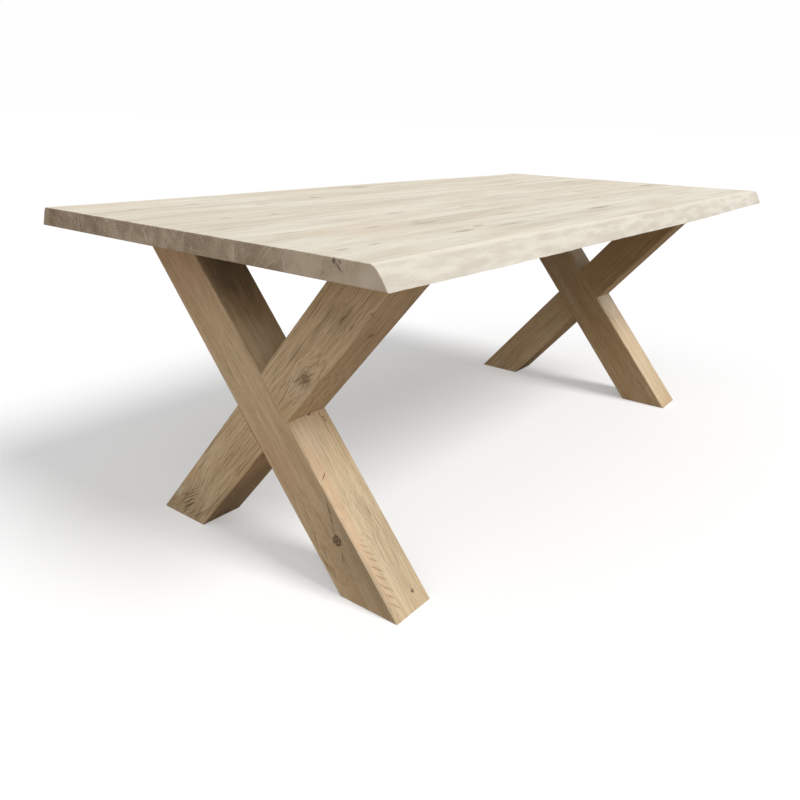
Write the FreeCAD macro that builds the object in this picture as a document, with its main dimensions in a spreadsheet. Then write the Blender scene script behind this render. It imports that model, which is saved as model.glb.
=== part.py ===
import FreeCAD, Part
import PartDesign
import Sketcher
import math
import os

os.makedirs("parts", exist_ok=True)
doc = FreeCAD.newDocument("SawbuckTable")
V = FreeCAD.Vector

# ---------------------------------------------------------------- dimensions (mm)
# +X runs along the table, -Y is the front edge and +Z is up. The origin is on the
# floor under the middle of the top.
sheet = doc.addObject("Spreadsheet::Sheet", "dims")
sheet.Label = "Dimensions"
rows = []


def dim(name, value):
    """Adds one named dimension: a number, or a formula of earlier names."""
    rows.append(name)
    sheet.set("A%d" % len(rows), name)
    sheet.set("B%d" % len(rows), str(value))
    sheet.setAlias("B%d" % len(rows), name)


# the top
dim("top_length", 2100)
dim("top_thickness", 40)
dim("total_height", 780)
dim("end_chamfer", 2)

# the first glued seam, counted from the front, and the straight boards behind it
dim("first_seam", -246)
dim("board_2_width", 122)
dim("board_3_width", 150)
dim("board_4_width", 98)
dim("board_5_width", 147)
dim("board_6_width", 90)

# the two natural edges: their mean distance from the centre line, the taper over half
# the length, the outward bow at mid length, and a ripple along the edge
dim("front_reach", 492.6)
dim("front_taper", 27)
dim("front_bow", 13)
dim("back_reach", 508.9)
dim("back_taper", -7)
dim("back_bow", 4)
dim("ripple", 2.5)
dim("ripple_length", 1150)

# how far the top face stands in from the bottom edge, how that swells along the table,
# and the shares by which it closes up at the left and the right end
dim("front_bevel", 45)
dim("back_bevel", 24)
dim("bevel_swell", 0.16)
dim("swell_length", 1650)
dim("left_closing", 0.25)
dim("right_closing", 0.5)

# the natural edge's section: a slope that rolls over at the brow, given by two points
# that pull the curve, as shares of the bevel inward and of the thickness upward
dim("slope_in", 0.34)
dim("slope_up", 0.5)
dim("brow_in", 0.72)
dim("brow_up", 0.97)

# the crossed beams
dim("beam_width", 120)
dim("beam_arris", 1.5)
dim("frame_inset", 167)
dim("frame_set_back", 5)
dim("foot_spread", 623)

# the steel bar across each pair of beams
dim("bar_length", 700)
dim("bar_width", 60)
dim("bar_thickness", 6)
dim("slot_width", 6.6)
dim("slot_length", 18)
dim("slot_pitch", 180)

# the wood screws: from above into the beams, and from below into the boards
dim("screw_core", 4.6)
dim("frame_screw_clearance", 6)
dim("frame_screw_head", 11.6)
dim("frame_screw_length", 50)
dim("frame_screw_near", 266)
dim("frame_screw_pitch", 44)
dim("top_screw_flats", 10)
dim("top_screw_head_height", 4)
dim("top_screw_length", 32)

# worked out from the values above
dim("leg_height", "=total_height - top_thickness")
dim("lean", "=foot_spread / leg_height")
dim("foot_length", "=beam_width * sqrt(1 + lean ^ 2)")
dim("frame_x", "=top_length / 2 - frame_inset - beam_width / 2")
dim("bar_z", "=leg_height - bar_thickness")
doc.recompute()


# ---------------------------------------------------------------- helpers
def value(formula):
    return float(sheet.evalExpression(formula))


def new_body(name, x="0", y="0", z="0", turn=0):
    """A body placed by formulas and turned about its own vertical."""
    body = doc.addObject("PartDesign::Body", name)
    body.Label = name
    body.Placement = FreeCAD.Placement(V(), FreeCAD.Rotation(V(0, 0, 1), turn))
    for axis, formula in zip("xyz", (x, y, z)):
        body.setExpression("Placement.Base." + axis, formula)
    return body


def origin_part(body, role):
    return [f for f in body.Origin.OriginFeatures if f.Role == role][0]


def new_sketch(body, name, plane, offset="0", across="0"):
    """A sketch on one of the body's origin planes, moved along its normal and across."""
    sketch = body.newObject("Sketcher::SketchObject", name)
    sketch.AttachmentSupport = (origin_part(body, plane), [""])
    sketch.MapMode = "FlatFace"
    sketch.setExpression("AttachmentOffset.Base.x", across)
    sketch.setExpression("AttachmentOffset.Base.z", offset)
    return sketch


def measure(sketch, kind, *where_and_formula):
    """A driving dimension of the sketch that follows a formula."""
    *where, formula = where_and_formula
    number = sketch.addConstraint(Sketcher.Constraint(kind, *where, value(formula)))
    sketch.setExpression("Constraints[%d]" % number, formula)


def pin(sketch, geometry, point, x, y):
    """Sets a point of the sketch by its distances from the sketch's origin."""
    measure(sketch, "DistanceX", -1, 1, geometry, point, x)
    measure(sketch, "DistanceY", -1, 1, geometry, point, y)


def join(sketch, kind, *ends):
    sketch.addConstraint(Sketcher.Constraint(kind, *ends))


def line(sketch, start, end):
    return sketch.addGeometry(Part.LineSegment(start, end), False)


def arc(sketch, centre, radius, first_quarter, last_quarter):
    ring = Part.Circle(centre, V(0, 0, 1), radius)
    quarter = math.pi / 2
    return sketch.addGeometry(
        Part.ArcOfCircle(ring, first_quarter * quarter, last_quarter * quarter), False)


def outline(sketch, corners):
    """A closed outline of straight lines through corners given as formulas."""
    points = [V(value(x), value(y), 0) for x, y in corners]
    lines = [line(sketch, a, b) for a, b in zip(points, points[1:] + points[:1])]
    for before, after, corner in zip(lines[-1:] + lines, lines, corners):
        join(sketch, "Coincident", before, 2, after, 1)
        pin(sketch, after, 1, *corner)


def circle(sketch, x, y, diameter):
    centre = V(value(x), value(y), 0)
    ring = sketch.addGeometry(
        Part.Circle(centre, V(0, 0, 1), value(diameter) / 2), False)
    measure(sketch, "Diameter", ring, diameter)
    pin(sketch, ring, 3, x, y)


def rectangle(sketch, width, height):
    """A rectangle centred on the sketch's origin."""
    w, h = "(%s) / 2" % width, "(%s) / 2" % height
    outline(sketch, [("-" + w, "-" + h), (w, "-" + h), (w, h), ("-" + w, h)])


def slot(sketch, y, width, length):
    """A slot that runs along the sketch's vertical, centred on height y."""
    cy, r, reach = value(y), value(width) / 2, (value(length) - value(width)) / 2
    top = arc(sketch, V(0, cy + reach, 0), r, 0, 2)
    foot = arc(sketch, V(0, cy - reach, 0), r, 2, 4)
    for here, after in ((top, foot), (foot, top)):
        side = line(sketch, sketch.getPoint(here, 2), sketch.getPoint(after, 1))
        join(sketch, "Tangent", here, 2, side, 1)
        join(sketch, "Tangent", side, 2, after, 1)
    measure(sketch, "Diameter", top, width)
    for end, sign in ((top, "+"), (foot, "-")):
        pin(sketch, end, 3, "0", "%s %s (%s - %s) / 2" % (y, sign, length, width))


def add(body, kind, name, sketch, length, both=False, reverse=False):
    """A Pad or a Pocket of a sketch."""
    feature = body.newObject("PartDesign::" + kind, name)
    feature.Profile = sketch
    feature.SideType = "Symmetric" if both else "One side"
    feature.Reversed = reverse
    feature.setExpression("Length", length)
    doc.recompute()
    return feature


def cut(body, name, sketch, depth, reverse=False):
    """A Pocket that has to take wood or steel away, or the build stops."""
    before = body.Shape.Volume
    add(body, "Pocket", name, sketch, depth, reverse=reverse)
    if body.Shape.Volume > before - 1:
        raise RuntimeError(name + " of " + body.Label + " cuts nothing")


# ---------------------------------------------------------------- the top
BELOW = "dims.leg_height"
# the boards over the bars' slots, and how many pitches from the middle each slot is
SCREWED = {2: -1, 3: 0, 5: 1}


def board_blank(body, width, both, reverse=False):
    """A sawn board: its side outline, with chamfered ends, drawn out to its width."""
    side = new_sketch(body, body.Name + "_side", "XZ_Plane")
    end, top, ease = "dims.top_length / 2", "dims.top_thickness", "dims.end_chamfer"
    right = [("%s - %s" % (end, ease), "0"), (end, ease),
             (end, "%s - %s" % (top, ease)), ("%s - %s" % (end, ease), top)]
    left = [("-(%s)" % x, z) for x, z in reversed(right)]
    outline(side, right + left)
    add(body, "Pad", body.Name + "_blank", side, width, both, reverse)


def straight_board(number, seam):
    """A straight board from one seam back to the next."""
    width = "dims.board_%d_width" % number
    centre = "%s + %s / 2" % (seam, width)
    body = new_body("top_board_%d" % number, y=centre, z=BELOW)
    board_blank(body, width, both=True)
    if number in SCREWED:
        screw_y = "dims.frame_set_back + %d * dims.slot_pitch" % SCREWED[number]
        holes = new_sketch(body, body.Name + "_screw_points", "XY_Plane")
        for side in ("-", ""):
            circle(holes, side + "dims.frame_x", "%s - (%s)" % (screw_y, centre),
                   "dims.screw_core")
        depth = "dims.top_screw_length - dims.bar_thickness"
        cut(body, body.Name + "_pilot_holes", holes, depth, reverse=True)
    return body


def natural_section(body, number, along, side, edge, seam):
    """The waste outside the natural edge at one station along the board.

    along runs from -1 at one end of the table to 1 at the other.
    """
    x = "%g * dims.top_length / 2" % along
    reach = ("dims.%s_reach + dims.%s_taper * %g + dims.%s_bow * cos(90 * %g)"
             " + dims.ripple * sin(360 * %s / dims.ripple_length)"
             % (edge, edge, along, edge, along, x))
    bevel = ("dims.%s_bevel * (1 + dims.bevel_swell"
             " * sin(360 * %s / dims.swell_length - 110))"
             " * (1 - dims.%s_closing * %g)"
             % (edge, x, "left" if along < 0 else "right", along ** 14))
    sketch = new_sketch(body, "%s_section_%d" % (body.Name, number), "YZ_Plane", x)

    def across(share_of_bevel):
        return "%g * (%s - %s * (%s)) - %s" % (side, reach, share_of_bevel, bevel, seam)

    def up(share):
        return "%s * dims.top_thickness" % share

    poles = [(across(0), up(0)), (across("dims.slope_in"), up("dims.slope_up")),
             (across("dims.brow_in"), up("dims.brow_up")), (across(1), up(1))]
    curve = Part.BSplineCurve()
    curve.buildFromPolesMultsKnots(
        [V(value(a), value(b), 0) for a, b in poles], [4, 4], [0, 1], False, 3)
    edge_curve = sketch.addGeometry(curve, False)
    sketch.exposeInternalGeometry(edge_curve)
    for i, pole in enumerate(poles):
        pin(sketch, edge_curve + 1 + i, 3, *pole)
    beyond = "%d * (dims.%s_reach + 2 * dims.%s_bevel) - %s" % (side, edge, edge, seam)
    clear = [(across(1), up(1.3)), (beyond, up(1.3)),
             (beyond, up(-0.3)), (across(0), up(-0.3))]
    points = [poles[3]] + clear + [poles[0]]
    places = [V(value(a), value(b), 0) for a, b in points]
    sides = [line(sketch, a, b) for a, b in zip(places, places[1:])]
    for before, after, corner in zip(sides, sides[1:], clear):
        join(sketch, "Coincident", before, 2, after, 1)
        pin(sketch, after, 1, *corner)
    join(sketch, "Coincident", edge_curve, 2, sides[0], 1)
    join(sketch, "Coincident", sides[-1], 2, edge_curve, 1)
    return sketch


def natural_board(name, edge, side, seam):
    """An outer board: a sawn blank with the tree's own edge lofted along it."""
    body = new_body(name, y=seam, z=BELOW)
    width = "dims.%s_reach + dims.%s_bevel - abs(%s)" % (edge, edge, seam)
    board_blank(body, width, both=False, reverse=side > 0)
    stations = 11
    sections = []
    for i in range(stations):
        along = 1.02 * math.sin(math.pi * (i / (stations - 1) - 0.5))
        sections.append(natural_section(body, i + 1, along, side, edge, seam))
    waste = body.newObject("PartDesign::SubtractiveLoft", name + "_natural_edge")
    waste.Profile = sections[0]
    waste.Sections = [(section, [""]) for section in sections[1:]]
    doc.recompute()
    return body


natural_board("live_edge_board_front", "front", -1, "dims.first_seam")
seam = "dims.first_seam"
for number in range(2, 7):
    straight_board(number, seam)
    seam += " + dims.board_%d_width" % number
natural_board("live_edge_board_back", "back", 1, "(" + seam + ")")


# ---------------------------------------------------------------- the crossed beams
def beam(name, x, turn):
    """One beam of a pair. Its partner is the same piece turned half round."""
    body = new_body(name, x=x, y="dims.frame_set_back", turn=turn)
    half = "dims.foot_length / 2"
    spread = "dims.foot_spread / 2"
    side = new_sketch(body, name + "_side", "YZ_Plane")
    outline(side, [
        ("-%s - %s" % (spread, half), "0"),
        ("-%s + %s" % (spread, half), "0"),
        ("%s + %s" % (spread, half), "dims.leg_height"),
        ("%s - %s" % (spread, half), "dims.leg_height")])
    blank = add(body, "Pad", name + "_blank", side, "dims.beam_width", both=True)

    top = value("dims.leg_height") - 1
    arrises = ["Edge%d" % (i + 1) for i, edge in enumerate(blank.Shape.Edges)
               if min(v.Z for v in edge.Vertexes) < top]
    easing = body.newObject("PartDesign::Chamfer", name + "_arrises")
    easing.Base = (blank, arrises)
    easing.setExpression("Size", "dims.beam_arris")
    doc.recompute()

    # the cross half-lap: a channel as wide as the partner, half the beam deep
    channel = new_sketch(body, name + "_partner", "YZ_Plane")
    corners = []
    for up, across in ((-1, -1), (-1, 1), (1, 1), (1, -1)):
        climb = "%d * 1.2 * dims.beam_width" % up
        corners.append(("%d * %s - %s * dims.lean" % (across, half, climb),
                        "dims.leg_height / 2 + %s" % climb))
    outline(channel, corners)
    cut(body, name + "_half_lap", channel, "dims.beam_width / 2", reverse=True)

    housing = new_sketch(body, name + "_bar_outline", "XY_Plane", "dims.leg_height")
    rectangle(housing, "dims.bar_width", "dims.bar_length")
    cut(body, name + "_bar_housing", housing, "dims.bar_thickness")

    screws = new_sketch(body, name + "_screw_points", "XY_Plane", "dims.bar_z")
    for count in range(2):
        circle(screws, "0",
               "dims.frame_screw_near + %d * dims.frame_screw_pitch" % count,
               "dims.screw_core")
    cut(body, name + "_pilot_holes", screws,
        "dims.frame_screw_length - dims.bar_thickness")
    return body


# ---------------------------------------------------------------- the steel bars
def mounting_bar(name, x):
    """A flat bar, countersunk over the beams and slotted across for the top's screws."""
    body = new_body(name, x=x, y="dims.frame_set_back", z="dims.bar_z")
    plan = new_sketch(body, name + "_plan", "XY_Plane")
    rectangle(plan, "dims.bar_width", "dims.bar_length")
    add(body, "Pad", name + "_flat", plan, "dims.bar_thickness")

    slots = new_sketch(body, name + "_slot_points", "XY_Plane")
    for step in SCREWED.values():
        slot(slots, "%d * dims.slot_pitch" % step, "dims.slot_width", "dims.slot_length")
    cut(body, name + "_slots", slots, "dims.bar_thickness", reverse=True)

    points = new_sketch(body, name + "_screw_points", "XY_Plane", "dims.bar_thickness")
    for sign in "+-":
        for count in range(2):
            y = "dims.frame_screw_near + %d * dims.frame_screw_pitch" % count
            circle(points, "0", "%s(%s)" % (sign, y), "dims.frame_screw_clearance")
    sunk = body.newObject("PartDesign::Hole", name + "_countersinks")
    sunk.Profile = points
    doc.recompute()
    sunk.DepthType = "ThroughAll"
    sunk.HoleCutType = "Countersink"
    sunk.HoleCutCountersinkAngle = 90
    sunk.setExpression("Diameter", "dims.frame_screw_clearance")
    sunk.setExpression("HoleCutDiameter", "dims.frame_screw_head")
    doc.recompute()
    return body


for side, x in (("left", "-dims.frame_x"), ("right", "dims.frame_x")):
    beam("leg_%s_front_foot" % side, x, 0)
    beam("leg_%s_back_foot" % side, x, 180)
    mounting_bar("mounting_bar_" + side, x)


# ---------------------------------------------------------------- wood screws
def screw_group(name, z):
    """An empty body that may hold several separate screws."""
    body = new_body(name, y="dims.frame_set_back", z=z)
    body.AllowCompound = True
    return body


def repeat(body, originals, pitch=None, across=True):
    """Copies a screw one or two pitches back, then to the other beam and the other pair."""
    group = body.newObject("PartDesign::MultiTransform", body.Name + "_all")
    group.Originals = originals
    steps = []
    if pitch:
        row = body.newObject("PartDesign::LinearPattern", body.Name + "_row")
        row.Direction = (origin_part(body, "Y_Axis"), [""])
        row.Mode = "Spacing"
        row.Occurrences = 2 if across else 3
        row.setExpression("Offset", pitch)
        steps.append(row)
    if across:
        front = body.newObject("PartDesign::Mirrored", body.Name + "_other_beam")
        front.MirrorPlane = (origin_part(body, "XZ_Plane"), [""])
        steps.append(front)
    left = body.newObject("PartDesign::Mirrored", body.Name + "_other_pair")
    left.MirrorPlane = (origin_part(body, "YZ_Plane"), [""])
    group.Transformations = steps + [left]
    body.Tip = group
    doc.recompute()


core = "dims.screw_core / 2"
head = "dims.frame_screw_head / 2"
tip = "-dims.frame_screw_length"
sunk = screw_group("frame_screws", "dims.leg_height")
profile = new_sketch(sunk, "frame_screw_profile", "XZ_Plane",
                     "-dims.frame_screw_near", "dims.frame_x")
outline(profile, [("0", "0"), (head, "0"), (core, "%s - %s" % (core, head)),
                  (core, tip), ("0", tip)])
turned = sunk.newObject("PartDesign::Revolution", "frame_screw_turned")
turned.Profile = profile
turned.ReferenceAxis = (profile, ["V_Axis"])
turned.Angle = 360
doc.recompute()
repeat(sunk, [turned], "dims.frame_screw_pitch")

hexed = screw_group("top_screws", "dims.bar_z")
shank = new_sketch(hexed, "top_screw_shank_outline", "XY_Plane", across="dims.frame_x")
circle(shank, "0", "-dims.slot_pitch", "dims.screw_core")
shank = add(hexed, "Pad", "top_screw_shank", shank, "dims.top_screw_length")
head = new_sketch(hexed, "top_screw_head_outline", "XY_Plane", across="dims.frame_x")
corner = "dims.top_screw_flats / sqrt(3)"
outline(head, [("%s * cos(%d)" % (corner, 60 * i),
                "%s * sin(%d) - dims.slot_pitch" % (corner, 60 * i)) for i in range(6)])
head = add(hexed, "Pad", "top_screw_head", head, "dims.top_screw_head_height", reverse=True)
repeat(hexed, [shank, head], "dims.slot_pitch", across=False)


# ---------------------------------------------------------------- checks and export
doc.recompute()
for item in doc.Objects:
    if "Invalid" in item.State or "Error" in item.State:
        raise RuntimeError("%s is in a bad state: %s" % (item.Name, item.State))
    if item.isDerivedFrom("Sketcher::SketchObject") and item.solve() != 0:
        raise RuntimeError(item.Name + " does not solve")
for body in doc.findObjects("PartDesign::Body"):
    if body.Shape.isNull() or not body.Shape.isValid():
        raise RuntimeError(body.Label + " has no valid shape")
    if len(body.Shape.Solids) > 1 and body.Tip.TypeId != "PartDesign::MultiTransform":
        raise RuntimeError(body.Label + " is in pieces")
    body.Shape.exportStep("parts/" + body.Label + ".step")
    print("%-24s %2d solids %9.1f cm3" % (
        body.Label, len(body.Shape.Solids), body.Shape.Volume / 1000))
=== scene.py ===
import math

import bmesh
import bpy
from mathutils import Matrix, Vector, noise


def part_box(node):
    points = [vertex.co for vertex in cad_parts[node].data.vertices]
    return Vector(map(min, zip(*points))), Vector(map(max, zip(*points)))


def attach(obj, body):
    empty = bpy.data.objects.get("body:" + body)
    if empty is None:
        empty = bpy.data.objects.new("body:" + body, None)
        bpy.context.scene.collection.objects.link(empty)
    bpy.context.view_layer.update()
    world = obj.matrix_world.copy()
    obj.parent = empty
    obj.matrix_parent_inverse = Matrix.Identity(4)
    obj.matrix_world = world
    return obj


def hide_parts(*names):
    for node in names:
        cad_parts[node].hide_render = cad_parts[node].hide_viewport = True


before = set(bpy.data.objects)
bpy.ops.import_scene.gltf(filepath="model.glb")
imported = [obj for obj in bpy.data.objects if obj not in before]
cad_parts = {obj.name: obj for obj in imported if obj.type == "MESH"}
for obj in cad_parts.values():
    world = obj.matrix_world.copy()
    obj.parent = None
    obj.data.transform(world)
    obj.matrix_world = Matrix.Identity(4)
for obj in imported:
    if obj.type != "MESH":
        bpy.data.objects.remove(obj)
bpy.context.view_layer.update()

bl_info = {
    "name": "Sawbuck Table",
    "version": (1, 0, 0),
    "blender": (4, 5, 0),
    "location": "View3D > Sidebar > Table",
    "description": "Dresses a natural-edged oak table on crossed beams",
    "category": "Object",
}

BODY = "root"
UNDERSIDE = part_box("top_board_3")[0][2]
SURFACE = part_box("top_board_3")[1][2]
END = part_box("top_board_3")[1][0]


# ------------------------------------------------------------------ settings
def linear(hex_value):
    """An sRGB hex colour as linear red, green, blue and an alpha of 1."""
    parts = [int(hex_value[i:i + 2], 16) / 255 for i in (1, 3, 5)]
    parts = [c / 12.92 if c <= 0.04045 else ((c + 0.055) / 1.055) ** 2.4 for c in parts]
    return (*parts, 1.0)


def colour(name, hex_value, what):
    return bpy.props.FloatVectorProperty(name=name, description=what, subtype="COLOR",
                                         size=4, min=0.0, max=1.0,
                                         default=linear(hex_value))


def share(name, what, value):
    return bpy.props.FloatProperty(name=name, description=what, default=value,
                                   min=0.0, soft_max=1.0, subtype="FACTOR")


class TableTopSettings(bpy.types.PropertyGroup):
    pale: colour("Pale wood", "#E3DCCD", "Earlywood of the whitened top")
    shaded: colour("Shaded wood", "#BEB19A", "Latewood of the whitened top")
    # on the top this tone marks only real glue lines and pale streaks
    sapwood: colour("Sapwood", "#D8CDBB", "Pale glue lines and streaks on the cut ends")
    end_pale: colour("End grain", "#C5B6A2", "Pale part of the cut ends")
    end_dark: colour("End grain, dark", "#7D664E", "Dense part of the cut ends")
    pore: colour("Pores", "#A8957B", "Open pores, half filled by the white oil")
    smudge: colour("Smudges", "#8F8069", "Soft knots and mineral streaks")
    knot: colour("Knots", "#4F4440", "Filled checks and black knots")
    # a painted highlight: a paler band along the ridge of a natural edge stands in for the light
    # it catches
    painted_brow_highlight: colour("Brow", "#DBD4C6", "Worn ridge above a natural edge")
    # the natural edge's face is toned partly as its sapwood's own grey and partly as painted
    # shade, darker so the sloping face the key lights stays dim
    bark_pale: colour("Bark side", "#D1CBBF", "Sanded sapwood of a natural edge")
    bark_shaded: colour("Bark side, shaded", "#BCB4A6", "Hollows of a natural edge")
    ring_show: share("Rings", "How strongly the rings show", 0.20)
    cloud_show: share("Clouds", "How strongly the colour varies along a board", 0.65)
    streak_show: share("Streaks", "How strongly long streaks show", 1.0)
    line_show: share("Pore lines", "How dark the lines of pores are", 0.22)
    pore_show: share("Pores", "How dark the single pores are", 0.16)
    relief: share("Relief", "How strongly the grain stands out", 0.25)
    end_easing: bpy.props.FloatProperty(
        name="End easing", description="Radius along the cut ends",
        default=0.0016, unit="LENGTH")
    waver: bpy.props.FloatProperty(
        name="Edge waver", description="Small bumps along the natural edges",
        default=0.0035, unit="LENGTH")
    stations: bpy.props.IntProperty(
        name="Edge stations", description="Cuts along each natural edge", default=240)
    layers: bpy.props.IntProperty(
        name="Edge layers", description="Cuts over the height of a natural edge",
        default=16)


class TableLegSettings(bpy.types.PropertyGroup):
    pale: colour("Pale wood", "#DBC4A0", "Earlywood of the beams")
    shaded: colour("Shaded wood", "#AE9169", "Latewood of the beams")
    # on the beams this tone also serves as painted light: it lightens patches that lie in shade
    # and in half shadow
    sapwood: colour("Sapwood", "#E2D6BF", "Sapwood left on a face of a beam")
    end_pale: colour("End grain", "#A58A66", "Pale part of the sawn feet")
    end_dark: colour("End grain, dark", "#6E5638", "Dense part of the sawn feet")
    pore: colour("Pores", "#70583A", "Open pores, darkened by the oil")
    # on the beams this tone also serves as painted shade, under the top and on faces turned away
    # from the lamps
    smudge: colour("Smudges", "#6F5839", "Soft knots and heartwood stains")
    # this tone also serves as painted shade, under the top on the left front-foot beam
    grey: colour("Weathered wood", "#7C7A70", "Grey wood that the planer left")
    knot: colour("Knots", "#3B2B20", "Knots and checks")
    ring_show: share("Rings", "How strongly the rings show", 0.34)
    cloud_show: share("Clouds", "How strongly the colour varies along a beam", 0.4)
    streak_show: share("Streaks", "How strongly long streaks show", 1.1)
    line_show: share("Pore lines", "How dark the lines of pores are", 0.5)
    pore_show: share("Pores", "How dark the single pores are", 0.35)
    relief: share("Relief", "How strongly the grain stands out", 0.5)
    arris: bpy.props.FloatProperty(
        name="Arris", description="Width of the eased edges of a beam",
        default=0.0018, unit="LENGTH")


class TableStageSettings(bpy.types.PropertyGroup):
    floor: colour("Floor", "#FEFEFE", "Floor and background")
    bounce: colour("Bounce", "#998C7F", "Tone of the light that the floor throws back")
    lift: share("Lift", "How much the floor glows where it is seen", 0.32)
    floor_reach: bpy.props.FloatProperty(
        name="Floor reach", description="Half the floor's width", default=400.0,
        unit="LENGTH")
    camera_place: bpy.props.FloatVectorProperty(
        name="Camera place", description="Where the camera stands",
        default=(-1.9034, -1.1207, 0.9814), subtype="TRANSLATION")
    yaw: bpy.props.FloatProperty(
        name="Yaw", description="Heading of the camera, from +X towards +Y",
        default=math.radians(37.2837), subtype="ANGLE")
    pitch: bpy.props.FloatProperty(
        name="Pitch", description="Tilt of the camera, up is positive",
        default=math.radians(-20.8706), subtype="ANGLE")
    roll: bpy.props.FloatProperty(
        name="Roll", description="Turn of the camera about its own view",
        default=math.radians(1.7037), subtype="ANGLE")
    lens: bpy.props.FloatProperty(
        name="Lens", description="Focal length on a 36 mm sensor, in millimetres",
        default=33.01)
    shift: bpy.props.FloatVectorProperty(
        name="Shift", description="Shift of the lens, as a share of the frame",
        size=2, default=(0.0148, -0.0004))


# ------------------------------------------------------------------ materials
def put(tree, kind, feeds=(), **settings):
    """Adds one shader node, sets it and feeds its inputs with values or outputs."""
    made = tree.nodes.new("ShaderNode" + kind)
    for name, value in settings.items():
        setattr(made, name, value)
    feeds = feeds if isinstance(feeds, dict) else dict(enumerate(feeds))
    for socket, value in feeds.items():
        if isinstance(value, bpy.types.Node):
            value = value.outputs[0]
        if isinstance(value, bpy.types.NodeSocket):
            tree.links.new(value, made.inputs[socket])
        elif value is not None:
            made.inputs[socket].default_value = value
    return made


def new_material(name):
    material = bpy.data.materials.new(name)
    material.use_nodes = True
    tree = material.node_tree
    tree.nodes.clear()
    return material, tree


def level(tree, value, start, full, top=1.0):
    """A smooth rise from 0 at one value to its top at another."""
    return put(tree, "MapRange", {"Value": value, "From Min": start, "From Max": full,
                                  "To Max": top}, interpolation_type="SMOOTHSTEP")


def streaks(tree, place, scale, detail, shift=0.0):
    """Noise drawn out along the grain: scale is how many waves there are in a metre."""
    drawn = put(tree, "Mapping", {"Vector": place, "Scale": scale,
                                  "Location": (shift * 5.1, shift, shift * 2.3)})
    return put(tree, "TexNoise", {"Vector": drawn, "Scale": 1.0, "Detail": detail,
                                  "Roughness": 0.55})


def length_of(tree, vector, weights=(1.0, 1.0, 1.0)):
    weighed = put(tree, "VectorMath", (vector, weights), operation="MULTIPLY")
    return put(tree, "VectorMath", (weighed,), operation="LENGTH").outputs["Value"]


def mark(tree, place, ragged, spot, half_size, turn):
    """How strongly a long blot covers a point: 1 at its middle, fading to 0 at its rim."""
    tear = min(sorted(half_size)[1] * 0.9, 0.012)
    torn = put(tree, "VectorMath", (ragged, (tear,) * 3, place),
               operation="MULTIPLY_ADD")
    local = put(tree, "Mapping", {"Vector": torn, "Location": spot, "Rotation": turn,
                                  "Scale": half_size}, vector_type="TEXTURE")
    return level(tree, length_of(tree, local), 1.0, 0.25)


def bend_round(tree, place, grain, turn, ragged, knot):
    """Leads the grain round a branch: the bent grain, the rings' push and the gap."""
    spot, size, heading, _ = knot
    away = put(tree, "VectorMath", (place, spot), operation="SUBTRACT")
    away = put(tree, "VectorMath", (ragged, (size * 0.9,) * 3, away),
               operation="MULTIPLY_ADD")
    branch = put(tree, "VectorMath", (away, heading), operation="PROJECT")
    away = put(tree, "VectorMath", (away, branch), operation="SUBTRACT")
    gap = length_of(tree, away)
    aside = put(tree, "Mapping", {"Vector": away, "Rotation": turn}, vector_type="VECTOR")
    swell = level(tree, length_of(tree, aside, (0.45, 1.0, 1.0)), size * 4.5, 0.0, 0.8)
    flow = put(tree, "VectorMath", {0: aside, "Scale": swell}, operation="SCALE")
    grain = put(tree, "VectorMath", (flow, (0.0, -1.0, -1.0), grain),
                operation="MULTIPLY_ADD")
    push = level(tree, gap, size * 5, 0.0, size * 1.8)
    return grain, push, gap


def annual_rings(tree, radius, ring):
    """Dark porous lines where rings start, and a slow darkening towards their ends."""
    uneven = put(tree, "Math", (radius, 45.0), operation="MULTIPLY")
    uneven = put(tree, "TexNoise", {"W": uneven, "Scale": 1.0, "Detail": 1.0},
                 noise_dimensions="1D")
    count = put(tree, "Math", (uneven, 1.6, put(tree, "Math", (radius, ring),
                operation="DIVIDE")), operation="MULTIPLY_ADD")
    phase = put(tree, "Math", (count,), operation="FRACT")
    onset = put(tree, "MapRange", {"Value": phase, "From Max": 0.06})
    early = put(tree, "Math", (level(tree, phase, 0.4, 0.05), onset), operation="MULTIPLY")
    return early, level(tree, phase, 0.5, 0.98, 0.3)


def medullary_rays(tree, across, radius, grain):
    """Fine lines out from the pith, 25 mm tall along the grain."""
    parts = put(tree, "SeparateXYZ", (across,))
    angle = put(tree, "Math", (parts.outputs["Y"], parts.outputs["Z"]), operation="ARCTAN2")
    height = put(tree, "SeparateXYZ", (grain,))
    rays = put(tree, "CombineXYZ", tuple(
        put(tree, "Math", (value, scale), operation="MULTIPLY")
        for value, scale in ((angle, 75.0), (radius, 26.0), (height, 42.0))))
    return level(tree, put(tree, "TexNoise", {"Vector": rays, "Scale": 1.0, "Detail": 1.0}),
                 0.54, 0.66)


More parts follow.
